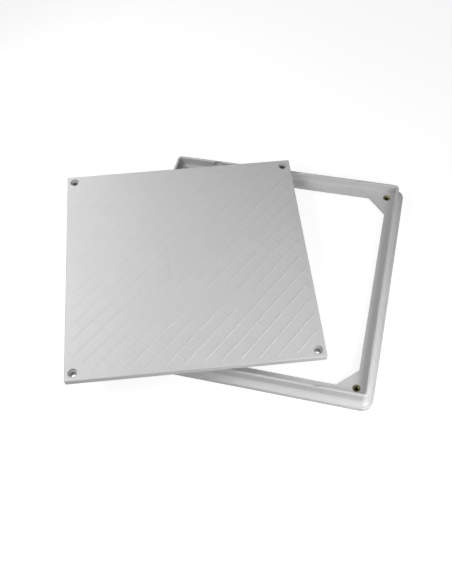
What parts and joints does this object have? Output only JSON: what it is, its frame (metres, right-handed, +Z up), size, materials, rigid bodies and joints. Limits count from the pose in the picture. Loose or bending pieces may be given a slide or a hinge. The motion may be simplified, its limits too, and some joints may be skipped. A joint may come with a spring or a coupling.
{
  "type": "cable pit cover with frame",
  "caption": "Square composite cover for a cable pit, lying askew on its rebated frame, with threaded corner fixings.",
  "frame": {"origin": "centre of the set's outline on the ground, at the frame's underside", "axes": "+Z up, out of the ground; +X along the frame's far and near sides, towards the side that the cover leaves free; +Y towards the far side"},
  "size_m": [0.5877, 0.5086, 0.0805],
  "materials": {
    "cover_composite": "satin, light grey glass-reinforced composite",
    "frame_composite": "satin, light grey glass-reinforced composite",
    "insert_brass": "dull turned brass"
  },
  "bodies": {
    "root": {"cover": "cover_composite", "frame": "frame_composite", "insert_far_left": "insert_brass", "insert_far_right": "insert_brass", "insert_near_left": "insert_brass", "insert_near_right": "insert_brass"}
  },
  "joints": []
}
